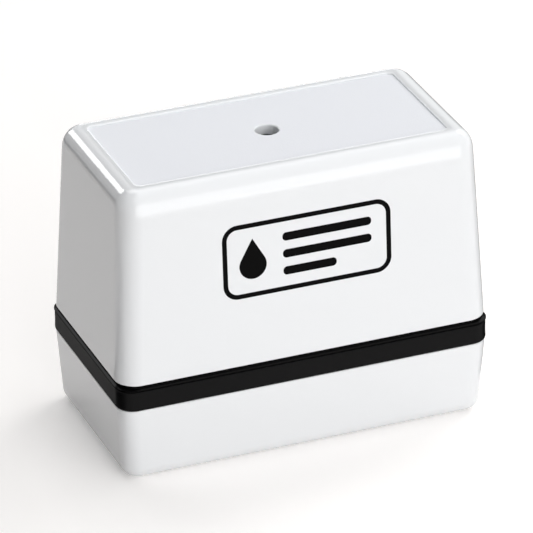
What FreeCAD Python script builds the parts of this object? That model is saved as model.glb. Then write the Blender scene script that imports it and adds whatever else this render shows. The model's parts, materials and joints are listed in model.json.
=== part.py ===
import FreeCAD, Part
import math
import os

# Rectangular pre-inked hand stamp, standing on its dust cap. Millimetres, +Z up.
# The origin is the centre of the cap's flat underside, X runs along the stamp, and -Y is its front.

# Outside, down the object
cap_height = 16.5
band_height = 5.5
handle_height = 40.8
band_length = 80.0
band_width = 42.8
corner_radius = 3.8

# Handle shell
handle_inset = 0.13
handle_draft = 2.0
handle_top_round = 3.6
handle_foot_round = 0.35
shell_wall = 1.8
panel_margin = 4.65
panel_depth = 0.45
panel_corner = 1.5
panel_roof = 2.1
panel_edge_round = 0.18
filler_hole_radius = 2.4
filler_edge_round = 0.2
boss_radius = 3.2
socket_wall = 1.7
socket_depth = 8.0
rib_thickness = 1.2
rib_depth = 14.0

# Black band of the collar frame: lip, groove, face and bead, from the top down
lip_stand = 0.25
lip_chamfer_height = 0.85
lip_land = 0.2
groove_stand = 0.06
groove_height = 0.28
bead_stand = 0.13
bead_height = 0.8
bead_rise = 0.9
band_foot_round = 0.55

# Dust cap
cap_inset = 0.15
cap_draft = 0.8
cap_wall = 1.5
cap_floor = 1.8
cap_foot_round = 3.2
cap_inner_round = 1.2
cap_rim_round = 0.25

# Collar frame inside the handle and the cap
spigot_depth = 3.2
spigot_wall = 1.4
pocket_step = 1.3
frame_plate = 2.0
post_radius = 3.2

# Skirt
skirt_corner = 2.0
skirt_wall = 1.4
skirt_roof = 1.6
skirt_foot_round = 0.3
skirt_travel = 2.4

# Springs
spring_length = 10.0
spring_radius = 2.8
spring_wire = 0.6
spring_turns = 6
spring_pin_radius = 1.7
spring_pin_height = 3.0
spring_inset = 5.8

# Die and what backs it, from the paper up
die_recess = 2.0
die_proud = 0.8
die_frame_lip = 0.8
die_frame_wall = 0.9
die_frame_lap = 4.0
die_frame_reach = 1.8
die_rim = 2.0
grid_thickness = 1.2
grid_hole_radius = 1.3
grid_hole_pitch = 4.2
felt_thickness = 1.2
foam_thickness = 5.2
tank_wall = 1.1
tank_roof = 1.2

# Cartridge carrier
carrier_wall = 1.8
carrier_plate = 2.0
carrier_ledge = 0.7

# Filler tube, its spout and its seal
tube_wall = 1.2
tube_funnel_flare = 0.8
tube_funnel_depth = 1.6
spout_height = 10.5
spout_lip = 0.9
seal_width = 1.3
seal_height = 2.0

# Screws and washers, one size throughout
screw_core_radius = 1.05
screw_head_radius = 2.3
screw_head_height = 1.2
screw_grip = 7.0
screw_slot_length = 2.6
screw_slot_width = 0.5
screw_slot_depth = 0.6
washer_radius = 2.5
washer_thickness = 0.4
washer_edge_gap = 0.5
handle_screw_from_spring_x = 9.0
handle_screw_from_spring_y = 3.3
post_from_handle_screw_x = 10.0

# Clearances
shell_seat_gap = 0.1
cap_fit_gap = 0.08
slide_gap = 0.15
carrier_gap = 0.2
tank_gap = 0.1
foam_gap = 0.1
die_window_gap = 0.2
frame_snap_gap = 0.05
skirt_cap_gap = 0.3
travel_spare = 0.4
hole_gap = 0.35
pilot_gap = 0.05
tube_gap = 0.05
head_gap = 0.1
post_window_gap = 0.5
smallest_corner = 0.5
least_flat = 0.05
cut_margin = 1.0

# Levels, from the table up
foot_z = cap_height + band_height
top_z = foot_z + handle_height
panel_z = top_z - panel_depth
shell_roof_z = panel_z - panel_roof
skirt_foot_z = cap_floor + skirt_cap_gap
die_face_z = skirt_foot_z + die_recess
die_frame_z = die_face_z + die_proud
die_rim_z = die_frame_z + die_frame_lip
grid_z = die_rim_z + die_rim
felt_z = grid_z + grid_thickness
foam_z = felt_z + felt_thickness
tank_roof_z = foam_z + foam_thickness
tank_top_z = tank_roof_z + tank_roof
carrier_plate_z = tank_top_z + head_gap + screw_head_height + washer_thickness
washer_z = carrier_plate_z - washer_thickness
carrier_top_z = carrier_plate_z + carrier_plate
skirt_top_z = carrier_top_z + skirt_roof
frame_plate_z = skirt_top_z + spring_length
frame_top_z = frame_plate_z + frame_plate
pocket_top_z = skirt_top_z + skirt_travel + travel_spare
spigot_foot_z = cap_height - spigot_depth
spout_top_z = tank_top_z + spout_height
die_frame_top_z = die_frame_z + die_frame_lip + die_frame_lap

# Radii that follow the filler hole
tube_radius = filler_hole_radius + tube_wall
seal_radius = tube_radius + seal_width
spout_radius = seal_radius + spout_lip
spout_bore_radius = tube_radius + tube_gap
socket_radius = tube_radius + socket_wall


class Plan:
    """A rectangle with rounded corners, seen from above: half length, half width and corner radius."""

    def __init__(self, half_x, half_y, corner):
        self.x = half_x
        self.y = half_y
        self.corner = max(corner, smallest_corner)

    def grown(self, step):
        """The same plan with every side moved outwards by step, and its corners with it."""
        return Plan(self.x + step, self.y + step, self.corner + step)

    def moved_in(self, step):
        """The same plan with every side moved in by step and its corner radius kept."""
        return Plan(self.x - step, self.y - step, self.corner)

    def outline(self, z):
        """Closed wire of this plan at height z."""
        x, y, r = self.x, self.y, self.corner
        in_x, in_y = x - r, y - r
        diagonal = r * math.sqrt(0.5)
        edges = []
        quarters = [(1, 1, 0), (-1, 1, 1), (-1, -1, 0), (1, -1, 1)]
        for sign_x, sign_y, swapped in quarters:
            on_side = FreeCAD.Vector(sign_x * x, sign_y * in_y, z)
            on_front = FreeCAD.Vector(sign_x * in_x, sign_y * y, z)
            middle = FreeCAD.Vector(sign_x * (in_x + diagonal), sign_y * (in_y + diagonal), z)
            start, end = (on_front, on_side) if swapped else (on_side, on_front)
            if edges:
                edges.append(Part.LineSegment(last, start).toShape())
            else:
                first = start
            edges.append(Part.Arc(start, middle, end).toShape())
            last = end
        edges.append(Part.LineSegment(last, first).toShape())
        return Part.Wire(edges)


def slab(plan, z_low, z_high):
    """Straight-sided block of a plan between two heights."""
    face = Part.Face(plan.outline(z_low))
    return face.extrude(FreeCAD.Vector(0, 0, z_high - z_low))


def stacked(sections):
    """Block through a list of (plan, height), with straight sides from each to the next."""
    return Part.makeLoft([plan.outline(z) for plan, z in sections], True, True)


def rod(radius, z_low, z_high, x=0.0, y=0.0):
    """Upright cylinder."""
    return Part.makeCylinder(radius, z_high - z_low, FreeCAD.Vector(x, y, z_low))


def bar(x_low, x_high, y_low, y_high, z_low, z_high):
    """Plain box between its limits."""
    corner = FreeCAD.Vector(x_low, y_low, z_low)
    return Part.makeBox(x_high - x_low, y_high - y_low, z_high - z_low, corner)


def rounded_at(shape, z, radius, inside=None):
    """Fillet every edge that lies flat at height z, or only those within the plan named inside."""
    chosen = []
    for edge in shape.Edges:
        box = edge.BoundBox
        level = abs(box.ZMin - z) < 1e-4 and abs(box.ZMax - z) < 1e-4
        within = inside is None or (box.XMax < inside.x and box.XMin > -inside.x
                                    and box.YMax < inside.y and box.YMin > -inside.y)
        if level and within:
            chosen.append(edge)
    return shape.makeFillet(radius, chosen)


def within_corners(radius, plan):
    """A fillet's radius, no more than the plan's own corners leave room for."""
    return min(radius, plan.corner - least_flat)


def at_corners(x, y):
    """The four mirrored places of a fastener or a spring."""
    return [(sign_x * x, sign_y * y) for sign_x in (-1, 1) for sign_y in (-1, 1)]


def handle_plan(z):
    """Outside of the handle shell at height z: it narrows steadily to the top."""
    taken_in = handle_draft * (z - foot_z) / handle_height
    return handle_foot.moved_in(taken_in)


def cap_plan(z):
    """Outside of the dust cap at height z: it narrows steadily to the table."""
    taken_in = cap_draft * (cap_height - z) / cap_height
    return cap_rim.moved_in(taken_in)


def cap_inside(z):
    """Inside of the dust cap's wall at height z."""
    return cap_plan(z).grown(-cap_wall)


# Plans, from the outside in
band = Plan(band_length / 2, band_width / 2, corner_radius)
handle_foot = band.grown(-handle_inset)
handle_top = handle_plan(top_z)
panel = Plan(handle_top.x - panel_margin, handle_top.y - panel_margin, panel_corner)
cap_rim = band.grown(-cap_inset)
spigot = cap_inside(cap_height).grown(-cap_fit_gap)
skirt_x = spigot.x - spigot_wall - slide_gap
skirt_y = spigot.y - spigot_wall - slide_gap
skirt_plan = Plan(skirt_x, skirt_y, skirt_corner)
skirt_inside = skirt_plan.grown(-skirt_wall)
pocket = skirt_plan.grown(slide_gap)
upper_pocket = pocket.grown(-pocket_step)
carrier_plan = skirt_inside.grown(-carrier_gap)
carrier_inside = carrier_plan.grown(-carrier_wall)
carrier_lap = carrier_plan.grown(-die_frame_wall - frame_snap_gap)
tank_plan = carrier_inside.grown(-tank_gap)
tank_inside = tank_plan.grown(-tank_wall)
foam_plan = tank_inside.grown(-foam_gap)
die_window = tank_plan.grown(-die_frame_reach)
die_face = die_window.grown(-die_window_gap)

# Places of springs, screws and posts
spring_x = skirt_x - spring_inset
spring_y = skirt_y - spring_inset
handle_screw_x = spring_x - handle_screw_from_spring_x
handle_screw_y = spring_y - handle_screw_from_spring_y
post_x = handle_screw_x - post_from_handle_screw_x
post_y = carrier_inside.y - carrier_ledge - washer_radius - washer_edge_gap


def make_dust_cap():
    """White cap with a drafted wall, a flat floor and a rounded foot."""
    body = stacked([(cap_plan(0), 0), (cap_rim, cap_height)])
    body = rounded_at(body, 0, within_corners(cap_foot_round, cap_rim))
    body = rounded_at(body, cap_height, cap_rim_round)
    hollow = stacked([(cap_inside(cap_floor), cap_floor), (cap_inside(cap_height), cap_height)])
    hollow = rounded_at(hollow, cap_floor, within_corners(cap_inner_round, cap_inside(cap_floor)))
    mouth = slab(cap_inside(cap_height), cap_height, cap_height + cut_margin)
    return body.cut(hollow).cut(mouth)


def make_handle_shell():
    """White grip: drafted walls, recessed panel, filler hole, screw bosses, tube socket and ribs."""
    body = stacked([(handle_foot, foot_z), (handle_top, top_z)])
    body = rounded_at(body, top_z, within_corners(handle_top_round, handle_foot))
    body = rounded_at(body, foot_z, handle_foot_round)
    hollow_foot = handle_plan(foot_z - cut_margin).grown(-shell_wall)
    hollow_roof = handle_plan(shell_roof_z).grown(-shell_wall)
    body = body.cut(stacked([(hollow_foot, foot_z - cut_margin), (hollow_roof, shell_roof_z)]))
    body = body.cut(slab(panel, panel_z, top_z + cut_margin))
    body = rounded_at(body, top_z, panel_edge_round, inside=panel.grown(panel_edge_round))

    inside = []
    for x, y in at_corners(handle_screw_x, handle_screw_y):
        inside.append(rod(boss_radius, frame_top_z, shell_roof_z + panel_roof / 2, x, y))
        side = math.copysign(handle_plan(shell_roof_z).y - shell_wall / 2, y)
        rib_y = sorted([y, side])
        rib_x = [x - rib_thickness / 2, x + rib_thickness / 2]
        inside.append(bar(*rib_x, *rib_y, shell_roof_z - rib_depth, shell_roof_z + panel_roof / 2))
    inside.append(rod(socket_radius, shell_roof_z - socket_depth, shell_roof_z + panel_roof / 2))
    body = body.multiFuse(inside).removeSplitter()

    cuts = [rod(spout_bore_radius, shell_roof_z - socket_depth - cut_margin, shell_roof_z)]
    cuts.append(rod(filler_hole_radius, shell_roof_z - cut_margin, top_z))
    for x, y in at_corners(handle_screw_x, handle_screw_y):
        pilot_top = frame_top_z + screw_grip + cut_margin
        cuts.append(rod(screw_core_radius + pilot_gap, frame_top_z - cut_margin, pilot_top, x, y))
    for cutter in cuts:
        body = body.cut(cutter)
    return rounded_at(body, panel_z, filler_edge_round, inside=Plan(tube_radius, tube_radius, 0))


def make_collar_frame():
    """Black frame: the band, the spigot for the cap, the sleeve in the handle, plate, posts and pins."""
    lip_edge_z = foot_z - lip_chamfer_height
    lip_foot_z = lip_edge_z - lip_land
    groove_foot_z = lip_foot_z - groove_height
    bead_top_z = cap_height + bead_height
    lip = band.grown(lip_stand)
    bead = band.grown(bead_stand)
    groove = band.grown(-groove_stand)
    lower = stacked([(bead, cap_height), (bead, bead_top_z), (band, bead_top_z + bead_rise),
                     (band, groove_foot_z)])
    lower = rounded_at(lower, cap_height, min(band_foot_round, bead_height - least_flat))
    neck = slab(groove, groove_foot_z - cut_margin, lip_foot_z + lip_land / 2)
    upper = stacked([(lip, lip_foot_z), (lip, lip_edge_z), (handle_foot, foot_z)])
    sleeve_foot = handle_plan(foot_z).grown(-shell_wall - shell_seat_gap)
    sleeve_top = handle_plan(frame_top_z).grown(-shell_wall - shell_seat_gap)
    sleeve = stacked([(sleeve_foot, foot_z), (sleeve_top, frame_top_z)])
    spigot_foot = cap_inside(spigot_foot_z).grown(-cap_fit_gap)
    seat = stacked([(spigot_foot, spigot_foot_z), (spigot, cap_height)])
    body = lower.multiFuse([neck, upper, sleeve, seat])

    body = body.cut(slab(pocket, spigot_foot_z - cut_margin, pocket_top_z))
    body = body.cut(slab(upper_pocket, pocket_top_z - cut_margin, frame_plate_z))

    added = []
    for x, y in at_corners(post_x, post_y):
        added.append(rod(post_radius, carrier_top_z, frame_plate_z + frame_plate / 2, x, y))
    for x, y in at_corners(spring_x, spring_y):
        pin_foot = frame_plate_z - spring_pin_height
        added.append(rod(spring_pin_radius, pin_foot, frame_plate_z + frame_plate / 2, x, y))
    body = body.multiFuse(added).removeSplitter()

    cuts = [rod(tube_radius + hole_gap, frame_plate_z - cut_margin, frame_top_z + cut_margin)]
    for x, y in at_corners(handle_screw_x, handle_screw_y):
        through = screw_core_radius + hole_gap
        cuts.append(rod(through, frame_plate_z - cut_margin, frame_top_z + cut_margin, x, y))
    for x, y in at_corners(post_x, post_y):
        pilot = screw_core_radius + pilot_gap
        cuts.append(rod(pilot, carrier_top_z - cut_margin, carrier_top_z + screw_grip + cut_margin, x, y))
    for cutter in cuts:
        body = body.cut(cutter)
    return body


def make_skirt():
    """Black sleeve that stands on the paper, with a roof that the springs press on."""
    body = slab(skirt_plan, skirt_foot_z, skirt_top_z)
    body = rounded_at(body, skirt_foot_z, within_corners(skirt_foot_round, skirt_plan))
    body = body.cut(slab(skirt_inside, skirt_foot_z - cut_margin, carrier_top_z))
    pins = []
    pin_foot_z, pin_top_z = skirt_top_z - skirt_roof / 2, skirt_top_z + spring_pin_height
    for x, y in at_corners(spring_x, spring_y):
        pins.append(rod(spring_pin_radius, pin_foot_z, pin_top_z, x, y))
    body = body.multiFuse(pins).removeSplitter()
    below, above = carrier_top_z - cut_margin, skirt_top_z + cut_margin
    body = body.cut(rod(spout_radius + hole_gap, below, above))
    for x, y in at_corners(post_x, post_y):
        body = body.cut(rod(post_radius + post_window_gap, below, above, x, y))
    return body


def make_carrier():
    """Black tray, open below, that hangs from the posts and holds the ink cartridge."""
    body = slab(carrier_plan, die_frame_top_z, carrier_top_z)
    lap = slab(carrier_lap, die_rim_z, die_frame_top_z)
    body = body.fuse(lap).removeSplitter()
    body = body.cut(slab(carrier_inside, die_rim_z - cut_margin, tank_top_z))
    body = body.cut(slab(carrier_inside.grown(-carrier_ledge), tank_top_z - cut_margin, carrier_plate_z))
    below, above = carrier_plate_z - cut_margin, carrier_top_z + cut_margin
    body = body.cut(rod(spout_radius + hole_gap, below, above))
    for x, y in at_corners(post_x, post_y):
        body = body.cut(rod(screw_core_radius + hole_gap, below, above, x, y))
    return body


def make_ink_tank():
    """Cartridge tray, open below, with the filler spout on its roof."""
    body = slab(tank_plan, felt_z, tank_top_z)
    body = body.cut(slab(tank_inside, felt_z - cut_margin, tank_roof_z))
    body = body.fuse(rod(spout_radius, tank_top_z - tank_roof / 2, spout_top_z)).removeSplitter()
    body = body.cut(rod(spout_bore_radius, tank_top_z, spout_top_z + cut_margin))
    body = body.cut(rod(seal_radius, spout_top_z - seal_height, spout_top_z + cut_margin))
    return body.cut(rod(filler_hole_radius, tank_roof_z - cut_margin, tank_top_z + cut_margin))


def make_support_grid():
    """Perforated plate behind the die."""
    body = slab(tank_plan, grid_z, felt_z)
    edge = grid_hole_pitch - grid_hole_radius
    count_x = int((die_face.x - edge) / grid_hole_pitch)
    count_y = int((die_face.y - edge) / grid_hole_pitch)
    holes = []
    for i in range(-count_x, count_x + 1):
        for j in range(-count_y, count_y + 1):
            place = (i * grid_hole_pitch, j * grid_hole_pitch)
            holes.append(rod(grid_hole_radius, grid_z - cut_margin, felt_z + cut_margin, *place))
    return body.cut(Part.makeCompound(holes))


def make_stamp_die():
    """Porous foam die: a rim that the frame clamps and a raised face that prints."""
    rim = slab(tank_plan, die_rim_z, grid_z)
    face = slab(die_face, die_face_z, die_rim_z)
    return rim.fuse(face).removeSplitter()


def make_die_frame():
    """Clamp frame: a lip under the die's rim and a wall that laps over the carrier's foot."""
    body = slab(carrier_plan, die_frame_z, die_frame_top_z)
    body = body.cut(slab(carrier_plan.grown(-die_frame_wall), die_rim_z, die_frame_top_z + cut_margin))
    return body.cut(slab(die_window, die_frame_z - cut_margin, die_rim_z + cut_margin))


def make_filler_tube():
    """Black tube from the hole in the handle down to the tank, with a funnel mouth."""
    body = rod(tube_radius, tank_top_z, shell_roof_z)
    body = body.cut(rod(filler_hole_radius, tank_top_z - cut_margin, shell_roof_z + cut_margin))
    throat = FreeCAD.Vector(0, 0, shell_roof_z - tube_funnel_depth)
    mouth_radius = filler_hole_radius + tube_funnel_flare
    return body.cut(Part.makeCone(filler_hole_radius, mouth_radius, tube_funnel_depth, throat))


def make_tube_seal():
    """Rubber ring between the tube and the spout."""
    body = rod(seal_radius - pilot_gap, spout_top_z - seal_height, spout_top_z)
    return body.cut(rod(tube_radius, spout_top_z - seal_height - cut_margin, spout_top_z + cut_margin))


def make_screws(x, y, head_face_z, passed_through):
    """Four pan-head screws that point up from head_face_z, through what they hold and on by their grip."""
    screws = []
    for place_x, place_y in at_corners(x, y):
        head_foot_z = head_face_z - screw_head_height
        head = rod(screw_head_radius, head_foot_z, head_face_z, place_x, place_y)
        head = rounded_at(head, head_foot_z, screw_head_height / 3)
        screw_top_z = head_face_z + passed_through + screw_grip
        shank = rod(screw_core_radius, head_face_z, screw_top_z, place_x, place_y)
        screw = head.fuse(shank)
        half_length, half_width = screw_slot_length / 2, screw_slot_width / 2
        for half_x, half_y in ((half_length, half_width), (half_width, half_length)):
            screw = screw.cut(bar(place_x - half_x, place_x + half_x, place_y - half_y, place_y + half_y,
                                  head_foot_z - cut_margin, head_foot_z + screw_slot_depth))
        screws.append(screw)
    return Part.makeCompound(screws)


def make_washers():
    """Four flat washers between the carrier's plate and its screws."""
    washers = []
    for x, y in at_corners(post_x, post_y):
        disc = rod(washer_radius, washer_z, carrier_plate_z, x, y)
        hole = rod(screw_core_radius + hole_gap, washer_z - cut_margin, carrier_plate_z + cut_margin, x, y)
        washers.append(disc.cut(hole))
    return Part.makeCompound(washers)


def arc_from_tangents(start, corner, end):
    """Circular arc between two points whose end tangents meet at corner."""
    middle = (start + end) * 0.5
    half_chord = (end - start).Length / 2
    rise = (corner - middle).Length
    sagitta = half_chord * math.tan(math.atan2(rise, half_chord) / 2)
    return Part.Arc(start, middle + (corner - middle) * (sagitta / rise), end).toShape()


def make_spring(x, y):
    """Open coil from the skirt's roof to the frame's plate: two tangent arcs for each quarter turn."""
    coil_radius = spring_radius - spring_wire / 2
    pitch = (spring_length - spring_wire) / spring_turns
    rise = pitch / (2 * math.pi)
    low_z = skirt_top_z + spring_wire / 2

    def point(angle):
        return FreeCAD.Vector(x + coil_radius * math.cos(angle), y + coil_radius * math.sin(angle),
                              low_z + rise * angle)

    def tangent(angle):
        way = FreeCAD.Vector(-coil_radius * math.sin(angle), coil_radius * math.cos(angle), rise)
        return way.normalize()

    edges = []
    for quarter in range(4 * spring_turns):
        angles = quarter * math.pi / 2, (quarter + 1) * math.pi / 2
        start, end = point(angles[0]), point(angles[1])
        way_out, way_in = tangent(angles[0]), tangent(angles[1])
        chord = end - start
        along = chord.dot(way_out + way_in)
        spread = 2 * (1 - way_out.dot(way_in))
        reach = (math.sqrt(along ** 2 + spread * chord.dot(chord)) - along) / spread
        joint = (start + end + (way_out - way_in) * reach) * 0.5
        edges.append(arc_from_tangents(start, start + way_out * reach, joint))
        edges.append(arc_from_tangents(joint, end - way_in * reach, end))
    path = Part.Wire(edges)
    section = Part.Wire([Part.Circle(point(0), tangent(0), spring_wire / 2).toShape()])
    return path.makePipeShell([section], True, False)


def report_spring(shape):
    """Print what the coil measures, against its wire section times its length."""
    coil_radius = spring_radius - spring_wire / 2
    pitch = (spring_length - spring_wire) / spring_turns
    length = spring_turns * math.hypot(2 * math.pi * coil_radius, pitch)
    expected = math.pi * (spring_wire / 2) ** 2 * length
    print("spring: gap between turns %.2f mm at rest, %.2f mm pressed; volume %.3f of %.3f mm3"
          % (pitch - spring_wire, pitch - spring_wire - skirt_travel / spring_turns, shape.Volume, expected))


pieces = {
    "dust_cap": make_dust_cap(),
    "handle_shell": make_handle_shell(),
    "collar_frame": make_collar_frame(),
    "skirt": make_skirt(),
    "cartridge_carrier": make_carrier(),
    "ink_tank": make_ink_tank(),
    "reservoir_foam": slab(foam_plan, foam_z, tank_roof_z),
    "wick_felt": slab(foam_plan, felt_z, foam_z),
    "support_grid": make_support_grid(),
    "stamp_die": make_stamp_die(),
    "die_frame": make_die_frame(),
    "filler_tube": make_filler_tube(),
    "tube_seal": make_tube_seal(),
    "handle_screws": make_screws(handle_screw_x, handle_screw_y, frame_plate_z, frame_plate),
    "carrier_screws": make_screws(post_x, post_y, washer_z, washer_thickness + carrier_plate),
    "carrier_washers": make_washers(),
    "spring_front_left": make_spring(-spring_x, -spring_y),
    "spring_front_right": make_spring(spring_x, -spring_y),
    "spring_rear_left": make_spring(-spring_x, spring_y),
    "spring_rear_right": make_spring(spring_x, spring_y),
}

os.makedirs("parts", exist_ok=True)
for name, shape in pieces.items():
    shape.exportStep("parts/%s.step" % name)
    print("%-20s solids %d, valid %s, volume %.1f mm3"
          % (name, len(shape.Solids), shape.isValid(), shape.Volume))
report_spring(pieces["spring_front_left"])
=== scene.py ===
import json
import math
from collections import namedtuple

import bmesh
import bpy
from bpy.props import FloatProperty, FloatVectorProperty, PointerProperty
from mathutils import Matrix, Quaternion, Vector


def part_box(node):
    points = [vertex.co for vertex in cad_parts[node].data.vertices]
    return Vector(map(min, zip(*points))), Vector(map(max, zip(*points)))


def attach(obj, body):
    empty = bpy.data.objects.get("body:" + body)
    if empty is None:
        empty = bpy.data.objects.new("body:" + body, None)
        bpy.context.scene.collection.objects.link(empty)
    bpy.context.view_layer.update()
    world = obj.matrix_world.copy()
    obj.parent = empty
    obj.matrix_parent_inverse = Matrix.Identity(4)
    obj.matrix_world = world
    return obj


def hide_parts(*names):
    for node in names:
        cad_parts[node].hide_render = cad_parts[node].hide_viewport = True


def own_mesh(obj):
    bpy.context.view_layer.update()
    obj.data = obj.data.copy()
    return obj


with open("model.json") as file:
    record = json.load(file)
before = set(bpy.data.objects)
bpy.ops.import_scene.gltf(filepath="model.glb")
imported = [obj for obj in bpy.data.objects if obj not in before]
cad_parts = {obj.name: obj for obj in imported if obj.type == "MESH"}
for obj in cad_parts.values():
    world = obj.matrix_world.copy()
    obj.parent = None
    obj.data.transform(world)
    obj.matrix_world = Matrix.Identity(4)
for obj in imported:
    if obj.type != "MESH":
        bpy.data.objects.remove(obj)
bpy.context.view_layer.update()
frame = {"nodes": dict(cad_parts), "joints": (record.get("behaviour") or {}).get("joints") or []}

bl_info = {
    "name": "Pre-inked Stamp",
    "version": (1, 0, 0),
    "blender": (4, 5, 0),
    "location": "View3D > Sidebar > Stamp",
    "description": "Models and finishes a pre-inked hand stamp round its frame of solids",
    "category": "Mesh",
}

# The springs' nodes, which differ only in their places
SPRINGS = [name for name in frame["nodes"] if name.startswith("spring_")]

# One millimetre in Blender's metres
mm = 0.001

# How finely the mould's curves are cut: sides for each quarter of a corner, and steps in the edges' rounds
CORNER_SIDES = 18
LARGE_ROUND_STEPS = 20
SMALL_ROUND_STEPS = 4

# Sides of a round bar, and of a spring's wire and one turn of its coil
ROD_SIDES = 48
WIRE_SIDES = 12
TURN_STEPS = 36

# Turns of a spring between its two closed ones; in wire diameters, the pitch of the closed ones, and how
# near each other the points of two sections lie that are made one
OPEN_TURNS = 4
CLOSED_PITCH = 1.03
MERGE_SHARE = 0.02

# The mark's bars, as rows up from its middle and shares of their full length; how much of their half width
# their corners round; and how much larger the mark is on the die than on the handle
MARK_BARS = ((1, 1.0), (0, 1.0), (-1, 0.6))
BAR_ROUND = 0.9
DIE_MARK_SCALE = 1.5

# Half the flat left between the quarters of a round hole, so that they stay apart, and how far apart two
# heights still count as the same
HAIR = 0.004 * mm

# A face whose normal rises more than this is level
LEVEL = 0.99

# How far a cutting tool reaches past what it cuts, and a joined part into what it joins
REACH = 0.5 * mm

# How deep the finest grain of a surface seems, and the cells and fibres of the soft pieces
FINE_DEPTH = 0.1 * mm
COARSE_DEPTH = 0.3 * mm

# Colours of the dust on the rubber and of the cards that only reflections see, in sRGB
PALE_DUST = "#3A3A38"
CARD_BLACK = "#0A0A0A"

# Past this angle a smooth-shaded edge stays sharp
SHARP_ANGLE = math.radians(35)

# Signs of x and y in the four quarters of the plan
QUARTERS = ((1, 1), (-1, 1), (-1, -1), (1, -1))

Softbox = namedtuple("Softbox", "name azimuth elevation distance width height roll power")
View = namedtuple("View", "azimuth elevation distance roll")

# Each softbox's direction and distance from the stamp, its size, its turn about its own axis and its power,
# in degrees, metres and watts
SOFTBOXES = (
    Softbox("key_softbox", 7, 14, 0.9, 0.9, 0.46, 0, 4.4),
    Softbox("fill_softbox", 22, 48, 1.0, 1.0, 0.8, 0, 3.0),
    Softbox("top_softbox", 112, 70, 0.9, 0.6, 0.6, 0, 2.35),
    Softbox("back_softbox", -178, 62, 0.9, 0.45, 0.45, 0, 1.85),
    Softbox("side_softbox", 120, 35, 0.9, 0.4, 0.4, 0, 2.1),
    Softbox("left_softbox", -110, 14, 0.9, 0.4, 0.4, 0, 0.28),
)

# A strip light behind the left end that only reflections see: it draws the bright line on the left top edge
STRIP_LIGHT = Softbox("strip_light", -159.6, 26.7, 0.6, 0.17, 0.32, -37.8, 1.15)

# A low lamp far behind that only reflections see: it draws the bright line along the recess's front edge
LINE_LIGHT = Softbox("line_light", 161, 9, 0.6, 0.18, 0.14, 0, 0.25)

# Black cards on the floor that only reflections see: behind the stamp they draw a thin dark line round the
# far edges of the white plastic, and the last one, on its left, darkens the near corner. Each card's left,
# right, front and back edge, and how far all lie above the floor
CARDS = (
    (-1.5, 1.0, 0.3, 2.0),
    (0.0, 1.0, 0.08, 0.3),
    (0.05, 1.0, -0.02, 0.08),
    (-0.16, -0.058, -0.035, 0.026),
)
CARD_RISE = 0.5 * mm

# A black card that stands behind, placed as the lamps are but without power, and that only reflections see:
# it greys the flat rim round the recess
BACK_CARD = Softbox("back_card", 159, 29, 0.6, 0.11, 0.17, 0, 0)

# The point that the softboxes stand round
STAMP_MIDDLE = Vector((0, 0, 30 * mm))

# The photograph's camera, in degrees and metres, fitted to the edges of the stamp in it; its focal length is
# in the photograph's pixels
CAMERA_VIEW = View(azimuth=-21.29, elevation=27.19, distance=0.9902, roll=-0.79)
CAMERA_TARGET = Vector((-0.48 * mm, 0, 31.63 * mm))
CAMERA_FOCAL_PIXELS = 4879.6
PHOTO_PIXELS = 533
SENSOR_WIDTH = 36.0
CAMERA_CLIP = (0.05, 20.0)

# The floor's width, the glow that it adds round the stamp to what the lamps light, and the distances between
# which the glow rises to the white of the background
FLOOR_SIZE = 6.0
FLOOR_GLOW = 0.28
GLOW_RISES = (0.3, 0.8)

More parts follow.
